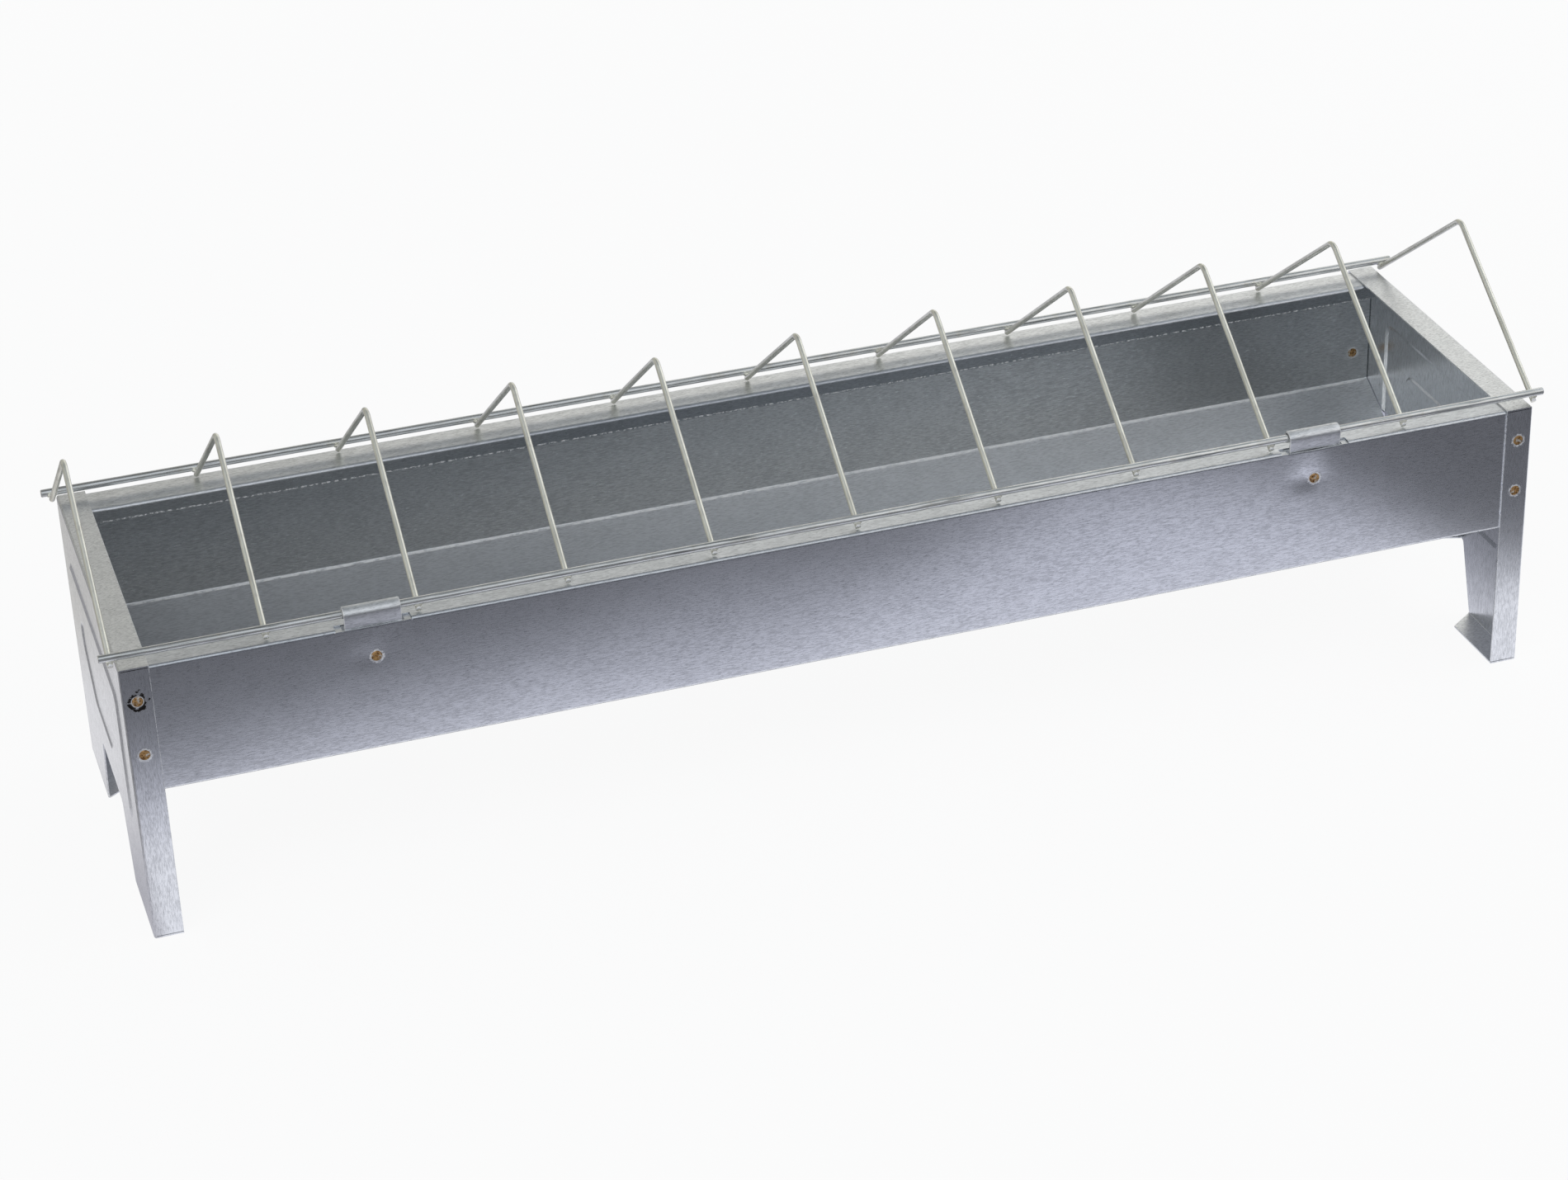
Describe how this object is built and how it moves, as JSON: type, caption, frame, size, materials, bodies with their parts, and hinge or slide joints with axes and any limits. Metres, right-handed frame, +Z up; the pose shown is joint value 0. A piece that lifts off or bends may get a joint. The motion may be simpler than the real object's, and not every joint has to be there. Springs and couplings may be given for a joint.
{
  "type": "trough feeder",
  "caption": "Long sheet-metal feeding trough on end-panel legs, with a ridge-shaped wire grille that hinges open in clips on the front rim.",
  "frame": {"origin": "on the floor under the middle of the trough", "axes": "+X along the trough to the right, +Y from the hinged front rim to the back rim, +Z up"},
  "size_m": [0.766, 0.192, 0.2212],
  "materials": {
    "galvanised_sheet": "galvanised, satin, fine grain",
    "galvanised_panel": "galvanised, satin, fine grain",
    "galvanised_clip": "galvanised, satin",
    "spot_weld": "heat-tinted, copper-coloured",
    "zinc_rail": "zinc-coated wire, mottled",
    "zinc_wire": "zinc-coated wire, drawn streaks"
  },
  "bodies": {
    "trough": {"trough_pan": "galvanised_sheet", "left_end_panel": "galvanised_panel", "right_end_panel": "galvanised_panel", "left_hinge_clip": "galvanised_clip", "right_hinge_clip": "galvanised_clip", "left_spot_welds": "spot_weld", "right_spot_welds": "spot_weld", "clip_spot_welds": "spot_weld"},
    "grille": {"front_rail": "zinc_rail", "back_rail": "zinc_rail", "grille_wire_01": "zinc_wire", "grille_wire_02": "zinc_wire", "grille_wire_03": "zinc_wire", "grille_wire_04": "zinc_wire", "grille_wire_05": "zinc_wire", "grille_wire_06": "zinc_wire", "grille_wire_07": "zinc_wire", "grille_wire_08": "zinc_wire", "grille_wire_09": "zinc_wire", "grille_wire_10": "zinc_wire", "grille_wire_11": "zinc_wire"}
  },
  "joints": [
    {"name": "grille_hinge", "type": "hinge", "parent": "trough", "child": "grille", "pos_m": [0, -0.0907, 0.15936], "axis": [1, 0, 0], "range_deg": [0, 200]}
  ]
}
